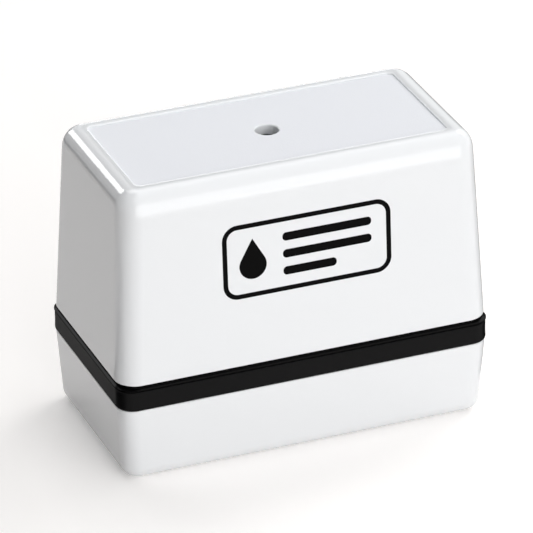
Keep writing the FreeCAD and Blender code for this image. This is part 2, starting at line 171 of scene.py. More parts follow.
# Sizes that the frame's boxes don't say, in millimetres
SIZES = dict(
    collar_inset=(0.25, "How far the collar's face lies inside the collar's solid"),
    lip_stand=(0.13, "How far the collar's lip stands out from the collar"),
    lip_neck=(0.5, "Height of the upright neck between the lip and the handle"),
    lip_slope=(0.25, "Height of the slope on top of the lip"),
    lip_land=(0.22, "Height of the lip's upright edge"),
    groove_depth=(0.2, "Depth of the groove below the lip"),
    groove_height=(0.3, "Height of the groove below the lip"),
    groove_edge=(0.1, "Size of the slope on the groove's lower edge"),
    bead_stand=(0.05, "How far the collar's bead stands out from the collar"),
    bead_height=(0.8, "Height of the bead at the collar's foot"),
    bead_rise=(0.9, "Height over which the bead runs out into the collar"),
    collar_foot_round=(0.55, "Radius of the collar's bottom edge"),
    corner=(3.8, "Radius of the collar's upright corners"),
    handle_inset=(0.13, "How far the handle's foot lies inside the collar"),
    handle_corner=(4.5, "Radius of the handle's upright corners"),
    handle_draft=(2.0, "How far each side of the handle leans in over its height"),
    handle_top_round=(3.6, "Radius of the handle's top edges"),
    handle_foot_round=(0.35, "Radius of the handle's bottom edge"),
    shell_wall=(1.8, "Thickness of the handle's walls"),
    handle_lead_in=(6.0, "Height over which the front and back turn into the top"),
    panel_margin=(4.65, "From the handle's side to the recessed panel"),
    panel_depth=(0.45, "Depth of the recessed panel"),
    panel_corner=(1.5, "Radius of the panel's corners"),
    panel_round=(0.25, "Radius of the edge round the panel"),
    panel_bevel=(0.35, "Width of the slight slope outside that edge"),
    panel_fall=(0.055, "How far that slope falls"),
    panel_roof=(2.1, "Thickness of the plastic under the panel"),
    hole_radius=(2.4, "Radius of the filler hole"),
    hole_round=(0.3, "Radius of the filler hole's edge"),
    cap_inset=(0.15, "How far the cap's rim lies inside the collar"),
    cap_draft=(0.8, "How far each side of the cap leans in over its height"),
    cap_wall=(1.5, "Thickness of the cap's walls"),
    cap_floor=(1.8, "Thickness of the cap's floor"),
    cap_foot_round=(3.2, "Radius of the cap's bottom edges"),
    cap_inner_round=(1.2, "Radius between the cap's walls and floor, inside"),
    cap_rim_round=(0.25, "Radius of the cap's rim"),
    tube_radius=(3.6, "Outer radius of the filler tube"),
    socket_wall=(1.7, "Wall of the socket that holds the filler tube"),
    socket_depth=(8.0, "Depth of the socket that holds the filler tube"),
    boss_radius=(3.2, "Radius of the screw bosses and the frame's posts"),
    boss_rib=(1.2, "Thickness of the rib behind each boss"),
    boss_rib_depth=(14.0, "How far each rib reaches down from the roof"),
    pilot_radius=(1.1, "Radius of the holes that the screws cut into"),
    pilot_depth=(8.0, "Depth of the holes that the screws cut into"),
    screw_radius=(1.4, "Radius of the holes that the screws pass through"),
    seat_gap=(0.1, "Air between the handle's wall and the frame's sleeve"),
    cap_fit=(0.08, "Air between the cap and the frame's spigot"),
    spigot_round=(0.5, "Radius of the spigot's lead-in"),
    skirt_corner=(2.0, "Radius of the skirt's upright corners"),
    skirt_wall=(1.4, "Thickness of the skirt's walls"),
    skirt_roof=(1.6, "Thickness of the skirt's roof"),
    skirt_round=(0.3, "Radius of the skirt's bottom edge"),
    slide_gap=(0.15, "Air between the skirt and the frame"),
    window_gap=(0.5, "Air between the skirt's windows and the posts"),
    spout_radius=(5.8, "Outer radius of the tank's spout"),
    hole_gap=(0.35, "Air round the tube and the spout where they pass through a plate"),
    tube_gap=(0.05, "Air between the tube and its socket"),
    screw_head=(2.3, "Radius of the screws' heads"),
    frame_plate=(2.0, "Thickness of the frame's plate"),
    pocket_step=(1.3, "How far the frame's upper pocket lies inside the lower one"),
    pocket_spare=(0.4, "Height of the pocket over the raised skirt"),
    pin_radius=(1.7, "Radius of the pins that centre the springs"),
    pin_height=(3.0, "Height of the pins that centre the springs"),
    wire=(0.6, "Diameter of the springs' wire"),
    die_corner=(0.9, "Radius of the die's corners"),
    die_window=(2.0, "How far the die's raised face lies inside its rim"),
    relief=(0.45, "Height of the relief on the die"),
    soft_round=(0.45, "Radius of the edges of the foam and the felt"),
    soft_corner=(1.0, "Radius of the corners of the foam and the felt"),
    mark_width=(36.0, "Width of the printed mark"),
    mark_height=(16.0, "Height of the printed mark"),
    mark_corner=(3.2, "Radius of the corners of the mark's outline"),
    mark_line=(1.0, "Width of the mark's outline"),
    mark_film=(0.03, "Thickness of the printed ink"),
    mark_right=(0.4, "How far the mark's centre lies right of the middle"),
    mark_up=(44.8, "Height of the mark's centre"),
    drop_radius=(2.9, "Radius of the foot of the mark's drop"),
    drop_tip=(5.8, "Height of the drop's tip over the centre of its foot"),
    drop_left=(11.6, "How far the drop lies left of the mark's centre"),
    drop_down=(1.2, "How far the drop's foot lies below the mark's centre"),
    bar_left=(5.2, "How far the mark's bars start left of its centre"),
    bar_length=(19.0, "Length of the mark's long bars"),
    bar_width=(1.8, "Width of the mark's bars"),
    bar_pitch=(3.7, "Distance from each of the mark's bars to the next"),
)

# Colours of the plastics, the foam and the stage, in sRGB
COLOURS = dict(
    shell_white=("#EFF1F3", "Polished white plastic of the handle and cap"),
    panel_white=("#EAECF1", "Matt white plastic of the recessed panel"),
    collar_black=("#060607", "Satin black plastic of the collar and skirt"),
    lip_black=("#050506", "Bright black plastic of the collar's lip"),
    mark_ink=("#040404", "Printing ink of the mark on the front"),
    natural_plastic=("#DDDCD2", "Natural polypropylene of the tank and the grid"),
    ink_black=("#17171D", "Foam and felt soaked in ink"),
    die_grey=("#2B2B33", "Inked foam of the die"),
    tube_black=("#1F1F20", "Black polyethylene of the filler tube"),
    rubber_black=("#232323", "Black rubber of the seal"),
    zinc=("#C9CCD0", "Zinc plating of the screws and washers"),
    spring_steel=("#BDBCB8", "Drawn stainless wire of the springs"),
    floor_white=("#F6F3F1", "Paper that the stamp stands on"),
)


def linear(hex_colour):
    """An sRGB hex colour as linear red, green and blue, with full alpha."""
    shares = [int(hex_colour[i:i + 2], 16) / 255 for i in (1, 3, 5)]
    return tuple([s / 12.92 if s <= 0.04045 else ((s + 0.055) / 1.055) ** 2.4 for s in shares] + [1.0])


def label(name):
    """A property's label, from its name."""
    return name.replace("_", " ").capitalize()


def length(name, size, text):
    """A length property, with its default in millimetres."""
    return FloatProperty(name=label(name), description=text, default=size * mm, min=0, unit="LENGTH",
                         precision=5)


def colour(name, tone, text):
    """A colour property, with its default as sRGB hex."""
    return FloatVectorProperty(name=label(name), description=text, default=linear(tone), size=4, min=0,
                               max=1, subtype="COLOR")


class STAMP_PG_sizes(bpy.types.PropertyGroup):
    """What the frame's boxes don't say of the mouldings."""

    __annotations__ = {name: length(name, *entry) for name, entry in SIZES.items()}


class STAMP_PG_colours(bpy.types.PropertyGroup):
    """Colours of the plastics, the foam and the stage."""

    __annotations__ = {name: colour(name, *entry) for name, entry in COLOURS.items()}


Ring = namedtuple("Ring", "x y corner z")


def grown(ring, step, z):
    """The ring at another height, with every side and corner moved outwards by step."""
    return Ring(ring.x + step, ring.y + step, ring.corner + step, z)


def moved_in(ring, step, z):
    """The ring at another height, with every side moved in by step and its corners kept."""
    return Ring(ring.x - step, ring.y - step, ring.corner, z)


def circle(radius, z):
    """A round ring."""
    return Ring(radius + HAIR, radius + HAIR, radius, z)


def add_round(rings, out, up, steps=SMALL_ROUND_STEPS, wall_first=False):
    """Add a quarter round that ends out and up from the last ring, and leaves it level or along the wall."""
    start = rings[-1]
    for i in range(1, steps + 1):
        angle = math.pi / 2 * i / steps
        along, across = math.sin(angle), 1 - math.cos(angle)
        shares = (across, along) if wall_first else (along, across)
        rings.append(grown(start, out * shares[0], start.z + up * shares[1]))


def only(piece):
    """Select this object alone and make it the active one."""
    bpy.ops.object.select_all(action="DESELECT")
    piece.select_set(True)
    bpy.context.view_layer.objects.active = piece


def one_of(parts):
    """Make one object of several, which keep their shapes."""
    only(parts[0])
    for part in parts:
        part.select_set(True)
    if len(parts) > 1:
        bpy.ops.object.join()
    return bpy.context.object


def name_piece(name):
    """Name the active object and its mesh."""
    piece = bpy.context.object
    piece.name = name
    piece.data.name = name
    return piece


def select_where(mesh, points, wanted):
    """Of the given points of the edit mesh, select those that pass a test."""
    for point in points:
        point.select = wanted(point.co)
    mesh.select_flush_mode()


def select_open_edges():
    """Select the edges round the holes of the mesh in edit mode."""
    mesh = bmesh.from_edit_mesh(bpy.context.object.data)
    for edge in mesh.edges:
        edge.select = edge.is_boundary


def flat_shape(x, y, corner=0.0):
    """Flat rectangle about the origin, its corners rounded if corner is given, left in edit mode."""
    bpy.ops.mesh.primitive_plane_add(size=2)
    bpy.ops.object.mode_set(mode="EDIT")
    bpy.context.tool_settings.mesh_select_mode = (True, False, False)
    bpy.ops.transform.resize(value=(x, y, 1))
    if corner:
        bpy.ops.mesh.bevel(offset=corner, affect="VERTICES", segments=CORNER_SIDES)


def face_outwards(piece):
    """Turn every face of a closed mesh outwards."""
    only(piece)
    bpy.ops.object.mode_set(mode="EDIT")
    bpy.ops.mesh.select_all(action="SELECT")
    bpy.ops.mesh.normals_make_consistent(inside=False)
    bpy.ops.object.mode_set(mode="OBJECT")
    return piece


def to_next_ring(old, new):
    """Extrude the selected face to the next ring: each corner is scaled about its centre and moved."""
    bpy.ops.mesh.extrude_region_move(TRANSFORM_OT_translate={"value": (0, 0, new.z - old.z)})
    mesh = bmesh.from_edit_mesh(bpy.context.object.data)
    points = [point for point in mesh.verts if point.select]
    scale = new.corner / old.corner
    old_x, old_y = old.x - old.corner, old.y - old.corner
    new_x, new_y = new.x - new.corner, new.y - new.corner
    for side_x, side_y in QUARTERS:
        select_where(mesh, points, lambda co: co.x * side_x > 0 and co.y * side_y > 0)
        centre = (side_x * old_x, side_y * old_y, new.z)
        bpy.ops.transform.resize(value=(scale, scale, 1), center_override=centre)
        bpy.ops.transform.translate(value=(side_x * (new_x - old_x), side_y * (new_y - old_y), 0))
    select_where(mesh, points, lambda co: True)


def moulded(name, rings, joined=False):
    """Closed body drawn through its rings in turn, capped at both ends or, if joined, with its last ring
    bridged back to its first."""
    first = rings[0]
    flat_shape(first.x, first.y, first.corner)
    piece = name_piece(name)
    bpy.ops.transform.translate(value=(0, 0, first.z))
    for old, new in zip(rings, rings[1:]):
        to_next_ring(old, new)
    if joined:
        mesh = bmesh.from_edit_mesh(piece.data)
        ends = [face for face in mesh.faces if len(face.verts) > 4]
        for face in mesh.faces:
            face.select = face in ends
        bpy.context.tool_settings.mesh_select_mode = (False, False, True)
        bpy.ops.mesh.delete(type="ONLY_FACE")
        bpy.context.tool_settings.mesh_select_mode = (False, True, False)
        select_open_edges()
        bpy.ops.mesh.bridge_edge_loops()
        bpy.context.tool_settings.mesh_select_mode = (True, False, False)
    bpy.ops.object.mode_set(mode="OBJECT")
    return face_outwards(piece)


def rods(radius, low_z, high_z, places=((0, 0),)):
    """Upright round bars, to be joined to a piece or cut out of it."""
    bars = []
    for x, y in places:
        bpy.ops.mesh.primitive_cylinder_add(vertices=ROD_SIDES, radius=radius, depth=high_z - low_z,
                                            location=(x, y, (low_z + high_z) / 2))
        bpy.ops.object.transform_apply()
        bars.append(bpy.context.object)
    return bars


def block(low, high):
    """Plain bar between two corners, to be joined to a piece."""
    bpy.ops.mesh.primitive_cube_add(size=1, location=(Vector(low) + Vector(high)) / 2,
                                    scale=Vector(high) - Vector(low))
    bpy.ops.object.transform_apply()
    return bpy.context.object


def combined(piece, tools, operation):
    """Unite the piece with its tools, or cut them out of it, and use the tools up."""
    tool = one_of(tools)
    only(piece)
    boolean = piece.modifiers.new("combined", "BOOLEAN")
    boolean.operation = operation
    boolean.solver = "EXACT"
    boolean.object = tool
    bpy.ops.object.modifier_apply(modifier=boolean.name)
    bpy.data.objects.remove(tool)
    return piece


def thickened(thickness):
    """Give the flat shape in edit mode its thickness, upwards, and leave edit mode."""
    bpy.ops.mesh.select_all(action="SELECT")
    bpy.ops.mesh.extrude_region_move(TRANSFORM_OT_translate={"value": (0, 0, thickness)})
    bpy.ops.object.mode_set(mode="OBJECT")
    return face_outwards(bpy.context.object)


def add_mark(name, sizes, scale, thickness):
    """The plain mark, flat about the origin: a rounded outline, a drop of ink and three ruled bars."""
    flat_shape(scale * sizes.mark_width / 2, scale * sizes.mark_height / 2, scale * sizes.mark_corner)
    bpy.ops.mesh.inset(thickness=scale * sizes.mark_line)
    bpy.ops.mesh.delete(type="ONLY_FACE")
    parts = [thickened(thickness), add_drop(sizes, scale, thickness)]
    half_width = scale * sizes.bar_width / 2
    for row, share in MARK_BARS:
        half_length = scale * share * sizes.bar_length / 2
        flat_shape(half_length, half_width, half_width * BAR_ROUND)
        place = (half_length - scale * sizes.bar_left, row * scale * sizes.bar_pitch, 0)
        bpy.ops.transform.translate(value=place)
        parts.append(thickened(thickness))
    one_of(parts)
    return name_piece(name)


def add_drop(sizes, scale, thickness):
    """The mark's drop: a disc whose top is drawn out to a point, along its tangents."""
    radius, tip = scale * sizes.drop_radius, scale * sizes.drop_tip
    bpy.ops.mesh.primitive_circle_add(vertices=ROD_SIDES, radius=radius, fill_type="NGON")
    bpy.ops.object.mode_set(mode="EDIT")
    bpy.context.tool_settings.mesh_select_mode = (True, False, False)
    mesh = bmesh.from_edit_mesh(bpy.context.object.data)
    select_where(mesh, mesh.verts, lambda co: co.y > radius * radius / tip)
    bpy.ops.mesh.merge(type="CENTER")
    mesh = bmesh.from_edit_mesh(bpy.context.object.data)
    merged = max(mesh.verts, key=lambda point: point.co.y)
    bpy.ops.transform.translate(value=(0, tip - merged.co.y, 0))
    bpy.ops.mesh.select_all(action="SELECT")
    bpy.ops.transform.translate(value=(-scale * sizes.drop_left, -scale * sizes.drop_down, 0))
    return thickened(thickness)


def finish_mesh(piece, *materials):
    """Shade the rounds smoothly and the flats flat, and give the piece its materials."""
    only(piece)
    bpy.ops.object.shade_smooth_by_angle(angle=SHARP_ANGLE)
    weighted = piece.modifiers.new("flats", "WEIGHTED_NORMAL")
    weighted.keep_sharp = True
    bpy.ops.object.modifier_apply(modifier=weighted.name)
    for material in materials:
        piece.data.materials.append(material)


def plug(tree, node, inputs):
    """Link each input that is given a socket, and set the others."""
    for name, value in inputs.items():
        if isinstance(value, bpy.types.NodeSocket):
            tree.links.new(value, node.inputs[name])
        else:
            node.inputs[name].default_value = value


def add_node(tree, kind, inputs, **settings):
    """Add a shader node with its settings and its inputs."""
    node = tree.nodes.new(kind)
    for name, value in settings.items():
        setattr(node, name, value)
    plug(tree, node, inputs)
    return node


def calculated(tree, operation, first, second):
    """One value worked out from two."""
    return add_node(tree, "ShaderNodeMath", {0: first, 1: second}, operation=operation).outputs["Value"]


def new_material(name):
    """An empty material: its tree, its shader and the object's own coordinates."""
    material = bpy.data.materials.new(name)
    material.use_nodes = True
    tree = material.node_tree
    tree.nodes.clear()
    shader = add_node(tree, "ShaderNodeBsdfPrincipled", {})
    add_node(tree, "ShaderNodeOutputMaterial", {"Surface": shader.outputs["BSDF"]})
    place = add_node(tree, "ShaderNodeTexCoord", {}).outputs["Object"]
    return material, tree, shader, place


def noise(tree, place, scale, detail, distortion=0.0):
    """Cloudy noise from 0 to 1, its scale in clouds per metre."""
    return add_node(tree, "ShaderNodeTexNoise", {"Vector": place, "Scale": scale, "Detail": detail,
                                                 "Distortion": distortion}).outputs["Fac"]


def spread(tree, value, start, end, top=1.0):
    """A value that goes from 0 to top, turned into one that goes from start to end."""
    return add_node(tree, "ShaderNodeMapRange", {"Value": value, "From Max": top, "To Min": start,
                                                 "To Max": end}).outputs["Result"]


def bumped(tree, height, strength, depth=FINE_DEPTH):
    """The surface's normal, tilted by the slopes of a height."""
    return add_node(tree, "ShaderNodeBump", {"Height": height, "Strength": strength,
                                             "Distance": depth}).outputs["Normal"]


def polished_abs(name, tone):
    """Polished ABS: an opaque white with a glassy skin that waves very slightly, as a moulding does."""
    material, tree, shader, place = new_material(name)
    plug(tree, shader, {"Base Color": tone, "IOR": 1.54, "Specular IOR Level": 0.4,
                        "Roughness": spread(tree, noise(tree, place, scale=260, detail=4), 0.06, 0.075),
                        "Normal": bumped(tree, noise(tree, place, scale=90, detail=1), 0.004)})
    return material


def eroded_abs(name, tone):
    """Spark-eroded ABS: the mould's fine pits leave a matt, evenly grained skin."""
    material, tree, shader, place = new_material(name)
    plug(tree, shader, {"Base Color": tone, "Roughness": 0.55, "IOR": 1.54,
                        "Normal": bumped(tree, noise(tree, place, scale=2600, detail=3), 0.25)})
    return material


def satin_abs(name, tone, roughness, shine):
    """Black ABS: a dull or bright sheen, as its mould was, over a black that is rubbed a little unevenly."""
    material, tree, shader, place = new_material(name)
    rubbed = add_node(tree, "ShaderNodeMix", {"Factor": noise(tree, place, scale=220, detail=5), "A": tone,
                                              "B": [part / 2 for part in tone]}, data_type="RGBA")
    grain = bumped(tree, noise(tree, place, scale=3000, detail=2), 0.12)
    plug(tree, shader, {"Base Color": rubbed.outputs["Result"], "Roughness": 0.6, "Specular IOR Level": 0.0,
                        "Coat Weight": shine, "Coat Roughness": roughness, "Coat IOR": 1.54,
                        "Normal": grain, "Coat Normal": grain})
    return material


def natural_polypropylene(name, tone):
    """Natural polypropylene: milky, a little see-through in depth, with a waxy sheen."""
    material, tree, shader, place = new_material(name)
    plug(tree, shader, {"Base Color": tone, "IOR": 1.49, "Subsurface Weight": 0.35,
                        "Subsurface Radius": (0.002, 0.002, 0.0017), "Subsurface Scale": 1.0,
                        "Roughness": spread(tree, noise(tree, place, scale=180, detail=3), 0.34, 0.46)})
    return material


def drawn_polyethylene(name, tone):
    """Extruded polyethylene: a dull skin with fine lines along the tube, left by the extrusion die."""
    material, tree, shader, place = new_material(name)
    along = add_node(tree, "ShaderNodeMapping",
                     {"Vector": place, "Scale": (1.0, 1.0, 0.02)}).outputs["Vector"]
    plug(tree, shader, {"Base Color": tone, "Roughness": 0.48, "IOR": 1.51,
                        "Normal": bumped(tree, noise(tree, along, scale=2500, detail=2), 0.3)})
    return material


def nitrile_rubber(name, tone):
    """Nitrile rubber: dead matt, with a faint bloom of pale dust."""
    material, tree, shader, place = new_material(name)
    dusty = add_node(tree, "ShaderNodeMix", {"Factor": noise(tree, place, scale=900, detail=5), "A": tone,
                                             "B": linear(PALE_DUST)}, data_type="RGBA")
    plug(tree, shader, {"Base Color": dusty.outputs["Result"], "Roughness": 0.82, "IOR": 1.52})
    return material


def zinc_plated_steel(name, tone):
    """Zinc-plated steel: bright and bluish, with the cloudy grain of the plating."""
    material, tree, shader, place = new_material(name)
    plug(tree, shader, {"Base Color": tone, "Metallic": 1.0,
                        "Roughness": spread(tree, noise(tree, place, scale=1400, detail=4), 0.22, 0.4)})
    return material


def drawn_steel(name, tone):
    """Hard-drawn stainless wire: smooth and grey, with scuffs from the winding mandrel."""
    material, tree, shader, place = new_material(name)
    plug(tree, shader, {"Base Color": tone, "Metallic": 1.0,
                        "Roughness": spread(tree, noise(tree, place, scale=3200, detail=3), 0.2, 0.36)})
    return material


def open_cell_foam(name, tone):
    """Open-cell polyurethane foam soaked in ink: cells of about 0.7 mm that glisten at their struts."""
    material, tree, shader, place = new_material(name)
    cells = add_node(tree, "ShaderNodeTexVoronoi", {"Vector": place, "Scale": 1400.0},
                     feature="DISTANCE_TO_EDGE")
    strut = spread(tree, cells.outputs["Distance"], 1.0, 0.0, top=0.3)
    plug(tree, shader, {"Base Color": tone, "Roughness": spread(tree, strut, 0.75, 0.35), "IOR": 1.4,
                        "Normal": bumped(tree, strut, 0.9, COARSE_DEPTH)})
    return material


def pressed_felt(name, tone):
    """Pressed wool felt soaked in ink: matted fibres of a few tenths of a millimetre, with no weave."""
    material, tree, shader, place = new_material(name)
    fibres = noise(tree, place, scale=1800, detail=6, distortion=2.5)
    plug(tree, shader, {"Base Color": tone, "Roughness": 0.85, "IOR": 1.4, "Sheen Weight": 0.3,
                        "Normal": bumped(tree, fibres, 0.8, COARSE_DEPTH)})
    return material


def microporous_foam(name, tone):
    """Microporous stamp foam, wet with ink: its pores are far under 0.1 mm, and are drawn at 0.25 mm."""
    material, tree, shader, place = new_material(name)
    pores = add_node(tree, "ShaderNodeTexVoronoi", {"Vector": place, "Scale": 4000.0})
    pit = spread(tree, pores.outputs["Distance"], 0.0, 1.0, top=0.35)
    plug(tree, shader, {"Base Color": tone, "Roughness": spread(tree, pit, 0.3, 0.55), "IOR": 1.45,
                        "Normal": bumped(tree, pit, 0.5)})
    return material


def screen_ink(name, tone):
    """Screen-printed ink: an even black film, slightly grained by the screen's mesh."""
    material, tree, shader, place = new_material(name)
    grain = noise(tree, place, scale=3500, detail=2)
    plug(tree, shader, {"Base Color": tone, "Roughness": spread(tree, grain, 0.4, 0.55), "IOR": 1.5,
                        "Specular IOR Level": 0.04, "Normal": bumped(tree, grain, 0.15)})
    return material


def collar_plan(sizes):
    """The collar's outer plan at its face, a little inside its solid, which its lip stands out to."""
    low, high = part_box("collar_frame")
    return Ring(high.x - sizes.collar_inset, high.y - sizes.collar_inset, sizes.corner, low.z)


def handle_ring(sizes, z):
    """The handle's outside at height z."""
    low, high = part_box("handle_shell")
    face = collar_plan(sizes)
    foot = Ring(face.x - sizes.handle_inset, face.y - sizes.handle_inset, sizes.handle_corner, low.z)
    return moved_in(foot, sizes.handle_draft * (z - low.z) / (high.z - low.z), z)


def cap_ring(sizes, z):
    """The dust cap's outside at height z."""
    low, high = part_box("dust_cap")
    rim = grown(collar_plan(sizes), -sizes.cap_inset, high.z)
    return moved_in(rim, sizes.cap_draft * (high.z - z) / (high.z - low.z), z)


def skirt_ring(sizes):
    """The skirt's outside, at its foot."""
    low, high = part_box("skirt")
    return Ring(high.x, high.y, sizes.skirt_corner, low.z)


def screw_places(sizes, node):
    """Centres, seen from above, of the four screws in one node."""
    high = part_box(node)[1]
    return [(side_x * (high.x - sizes.screw_head), side_y * (high.y - sizes.screw_head))
            for side_x, side_y in QUARTERS]


def spring_places():
    """Centres of the four springs, seen from above."""
    return [((low.x + high.x) / 2, (low.y + high.y) / 2) for low, high in map(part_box, SPRINGS)]


def joint_limit(name):
    """The far end of a slide joint's travel."""
    return next(joint for joint in frame["joints"] if joint["name"] == name)["range_m"][1]


class STAMP_OT_handle_shell(bpy.types.Operator):
    """Model the white handle with its rounded top, recessed panel, filler hole, bosses and tube socket"""

    bl_idname = "stamp.handle_shell"
    bl_label = "Handle Shell"

    def execute(self, context):
        sizes, colours = context.scene.stamp_sizes, context.scene.stamp_colours
        low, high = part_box("handle_shell")
        panel_z = high.z - sizes.panel_depth
        roof_z = panel_z - sizes.panel_roof
        foot = handle_ring(sizes, low.z)
        foot_round = sizes.handle_foot_round
        rings = [grown(foot, -sizes.shell_wall, low.z), grown(foot, -foot_round, low.z)]
        add_round(rings, foot_round, foot_round)
        rings += self.top_rings(sizes, high.z)
        rings += self.panel_rings(sizes, high.z, panel_z)
        rings += self.socket_rings(sizes, roof_z)
        rings.append(grown(handle_ring(sizes, roof_z), -sizes.shell_wall, roof_z))
        shell = moulded("handle_shell_moulding", rings, joined=True)
        self.add_bosses(sizes, shell, roof_z)
        finish_mesh(shell, polished_abs("polished_abs_handle", colours.shell_white),
                    eroded_abs("eroded_abs_panel", colours.panel_white))
        for face in shell.data.polygons:
            if abs(face.center.z - panel_z) < HAIR and face.normal.z > LEVEL:
                face.material_index = 1
        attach(shell, "handle")
        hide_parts("handle_shell")
        return {"FINISHED"}

    def top_rings(self, sizes, top_z):
        """Round the top edges: the ends by a plain quarter, the front and back softer, from lower down."""
        rings = []
        top_round, lead_in = sizes.handle_top_round, sizes.handle_lead_in
        for i in range(LARGE_ROUND_STEPS + 1):
            angle = math.pi / 2 * i / LARGE_ROUND_STEPS
            z = top_z - lead_in * (1 - math.sin(angle))
            front_in = top_round * (1 - math.cos(angle))
            risen = max(0.0, 1 - (top_z - z) / top_round)
            end_in = top_round * (1 - math.sqrt(1 - risen ** 2))
            side = handle_ring(sizes, z)
            rings.append(Ring(side.x - end_in, side.y - front_in, side.corner - (end_in + front_in) / 2, z))
        return rings

    def panel_rings(self, sizes, top_z, panel_z):
        """The step down into the recessed panel, and the filler hole's edge."""
        top = handle_ring(sizes, top_z)
        panel = Ring(top.x - sizes.panel_margin, top.y - sizes.panel_margin, sizes.panel_corner, panel_z)
        edge, hole_edge = sizes.panel_round, sizes.hole_round
        rings = [grown(panel, edge + sizes.panel_bevel, top_z), grown(panel, edge, top_z - sizes.panel_fall)]
        add_round(rings, -edge, -edge)
        rings += [panel, circle(sizes.hole_radius + hole_edge, panel_z)]
        add_round(rings, -hole_edge, -hole_edge)
        return rings

    def socket_rings(self, sizes, roof_z):
        """The hole's foot, and the socket below it that takes the filler tube."""
        bore = sizes.tube_radius + sizes.tube_gap
        outside = sizes.tube_radius + sizes.socket_wall
        socket_z = roof_z - sizes.socket_depth
        return [circle(sizes.hole_radius, roof_z), circle(bore, roof_z), circle(bore, socket_z),
                circle(outside, socket_z), circle(outside, roof_z)]

    def add_bosses(self, sizes, shell, roof_z):
        """Four bosses for the screws, each with a rib back to the wall and a pilot hole."""
        boss_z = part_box("collar_frame")[1].z
        places = screw_places(sizes, "handle_screws")
        combined(shell, rods(sizes.boss_radius, boss_z, roof_z + REACH, places), "UNION")
        half_rib = sizes.boss_rib / 2
        wall_y = handle_ring(sizes, roof_z).y - sizes.shell_wall + REACH
        ribs = []
        for x, y in places:
            low_y, high_y = sorted((y, math.copysign(wall_y, y)))
            ribs.append(block((x - half_rib, low_y, roof_z - sizes.boss_rib_depth),
                              (x + half_rib, high_y, roof_z + REACH)))
        combined(shell, ribs, "UNION")
        pilots = rods(sizes.pilot_radius, boss_z - REACH, boss_z + sizes.pilot_depth, places)
        combined(shell, pilots, "DIFFERENCE")


class STAMP_OT_dust_cap(bpy.types.Operator):
    """Model the white dust cap with its rounded foot and its hollow"""

    bl_idname = "stamp.dust_cap"
    bl_label = "Dust Cap"

    def execute(self, context):
        sizes, colours = context.scene.stamp_sizes, context.scene.stamp_colours
        low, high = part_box("dust_cap")
        foot_round, rim_round = sizes.cap_foot_round, sizes.cap_rim_round
        rings = [grown(cap_ring(sizes, low.z), -foot_round, low.z)]
        add_round(rings, foot_round, foot_round, LARGE_ROUND_STEPS)
        rings.append(cap_ring(sizes, high.z - rim_round))
        add_round(rings, -rim_round, rim_round, wall_first=True)
        rings.append(grown(cap_ring(sizes, high.z), rim_round - sizes.cap_wall, high.z))
        add_round(rings, -rim_round, -rim_round)
        inner_round = sizes.cap_inner_round
        wall_foot = cap_ring(sizes, low.z + sizes.cap_floor + inner_round)
        rings.append(grown(wall_foot, -sizes.cap_wall, wall_foot.z))
        add_round(rings, -inner_round, -inner_round, LARGE_ROUND_STEPS, wall_first=True)
        cap = moulded("dust_cap_moulding", rings)
        finish_mesh(cap, polished_abs("polished_abs_cap", colours.shell_white))
        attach(cap, "cap")
        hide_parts("dust_cap")
        return {"FINISHED"}


